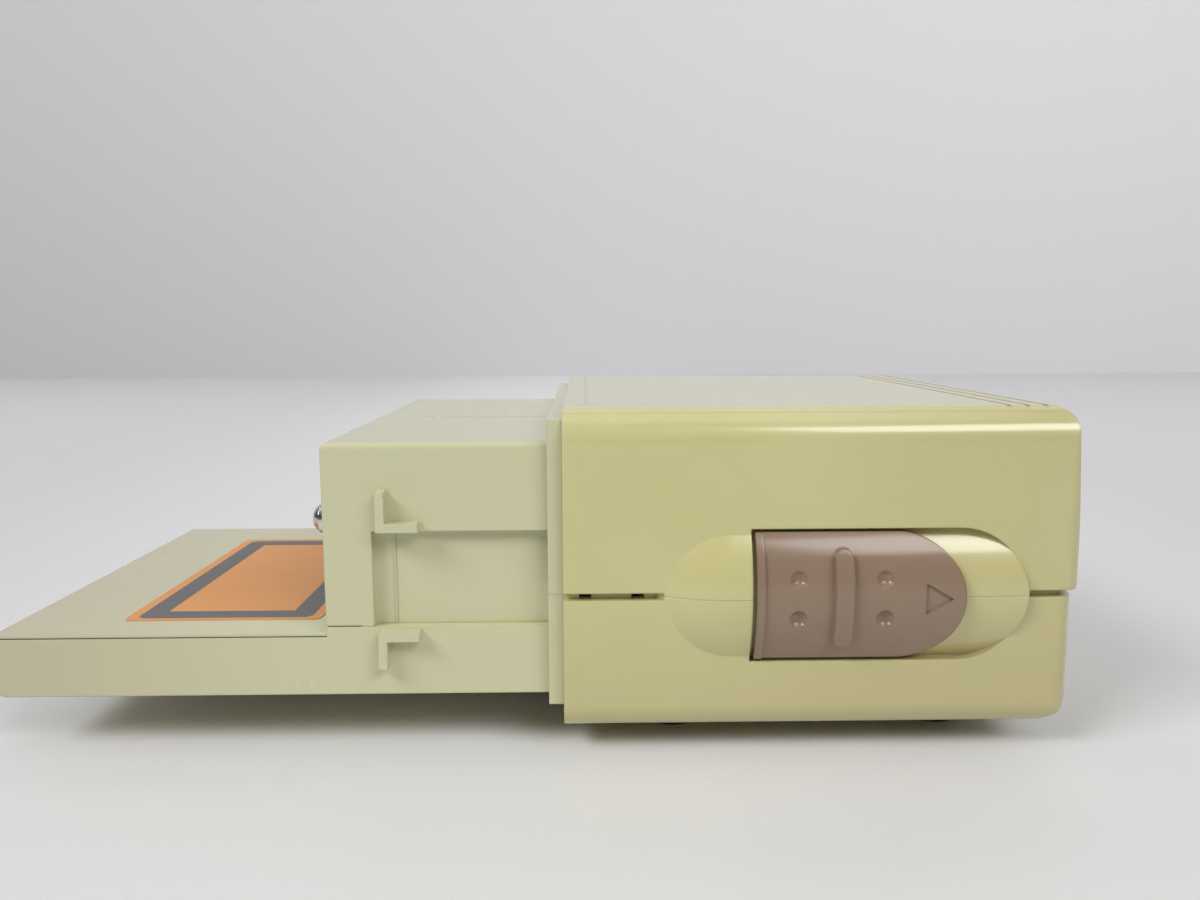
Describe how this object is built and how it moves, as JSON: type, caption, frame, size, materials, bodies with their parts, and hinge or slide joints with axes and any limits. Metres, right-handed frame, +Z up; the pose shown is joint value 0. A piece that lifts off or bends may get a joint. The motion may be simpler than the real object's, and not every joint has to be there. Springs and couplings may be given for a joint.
{
  "type": "plug-in laser unit",
  "caption": "Plug-in laser unit of an instrument: yellowed two-shell housing with a slide latch on each side, a hinged fibre port cover, and a pale inner module with block, tongue and label.",
  "frame": {"origin": "centre of the unit's footprint, on the surface its feet stand on", "axes": "+X from the tongue to the outer end, +Y from the near latch to the far one, +Z up"},
  "size_m": [0.1448, 0.0864, 0.0464],
  "materials": {
    "housing_plastic": "yellowed, fine matt texture",
    "module_plastic": "pale, fine matt texture",
    "latch_plastic": "smooth, glossy",
    "label_film": "printed film, satin",
    "carrier_plastic": "acetal, satin",
    "guide_plastic": "black nylon",
    "connector_plastic": "black, matt",
    "contact_gold": "gold flash",
    "screw_chrome": "polished",
    "screw_steel": "zinc plated",
    "spring_steel": "bright wire",
    "sheet_steel": "tinned sheet",
    "board_green": "solder mask",
    "component_black": "moulded",
    "ribbon_grey": "flat cable",
    "bench_aluminium": "milled, clear anodised",
    "gold_can": "plated can",
    "barrel_brass": "turned",
    "lens_glass": "coated",
    "adaptor_nickel": "nickel plated",
    "ceramic_white": "zirconia",
    "rubber_dark": "matt"
  },
  "bodies": {
    "unit": {"upper_housing": "housing_plastic", "lower_housing": "housing_plastic", "flange_upper": "module_plastic", "flange_lower": "module_plastic", "module_cover": "module_plastic", "module_tray": "module_plastic", "safety_label": "label_film", "latch_spring_front": "spring_steel", "latch_spring_rear": "spring_steel", "latch_guide_front": "guide_plastic", "latch_guide_rear": "guide_plastic", "guide_screws": "screw_steel", "host_connector": "connector_plastic", "connector_contacts": "contact_gold", "connector_board": "board_green", "connector_bracket": "sheet_steel", "end_screws": "screw_chrome", "main_board": "board_green", "main_board_parts": "component_black", "receiver_shield": "sheet_steel", "ribbon_cable": "ribbon_grey", "cover_screws": "screw_steel", "tray_screws": "screw_steel", "laser_board": "board_green", "laser_board_parts": "component_black", "board_screws": "screw_steel", "optics_bench": "bench_aluminium", "bench_screws": "screw_steel", "laser_diode": "gold_can", "laser_clamp": "bench_aluminium", "lens_barrel": "barrel_brass", "collimator_lens": "lens_glass", "beam_splitter": "lens_glass", "photodiode": "gold_can", "optical_adaptor": "adaptor_nickel", "ferrule_sleeve": "ceramic_white", "adaptor_screws": "screw_steel", "port_cover_pin": "screw_steel", "housing_screws": "screw_steel", "rubber_feet": "rubber_dark"},
    "latch_front": {"latch_slider_front": "latch_plastic", "latch_carrier_front": "carrier_plastic", "latch_screw_front": "screw_steel"},
    "latch_rear": {"latch_slider_rear": "latch_plastic", "latch_carrier_rear": "carrier_plastic", "latch_screw_rear": "screw_steel"},
    "port_flap": {"port_cover": "housing_plastic"}
  },
  "joints": [
    {"name": "latch_front_slide", "type": "slide", "parent": "unit", "child": "latch_front", "axis": [1, 0, 0], "range_m": [0, 0.0075], "stiffness_N_per_m": 780, "springref_m": -0.0025, "deforming": ["latch_spring_front"]},
    {"name": "latch_rear_slide", "type": "slide", "parent": "unit", "child": "latch_rear", "axis": [1, 0, 0], "range_m": [0, 0.0075], "stiffness_N_per_m": 780, "springref_m": -0.0025, "deforming": ["latch_spring_rear"]},
    {"name": "port_cover_hinge", "type": "hinge", "parent": "unit", "child": "port_flap", "pos_m": [0.0698, 0, 0.0368], "axis": [0, -1, 0], "range_deg": [0, 90]}
  ]
}
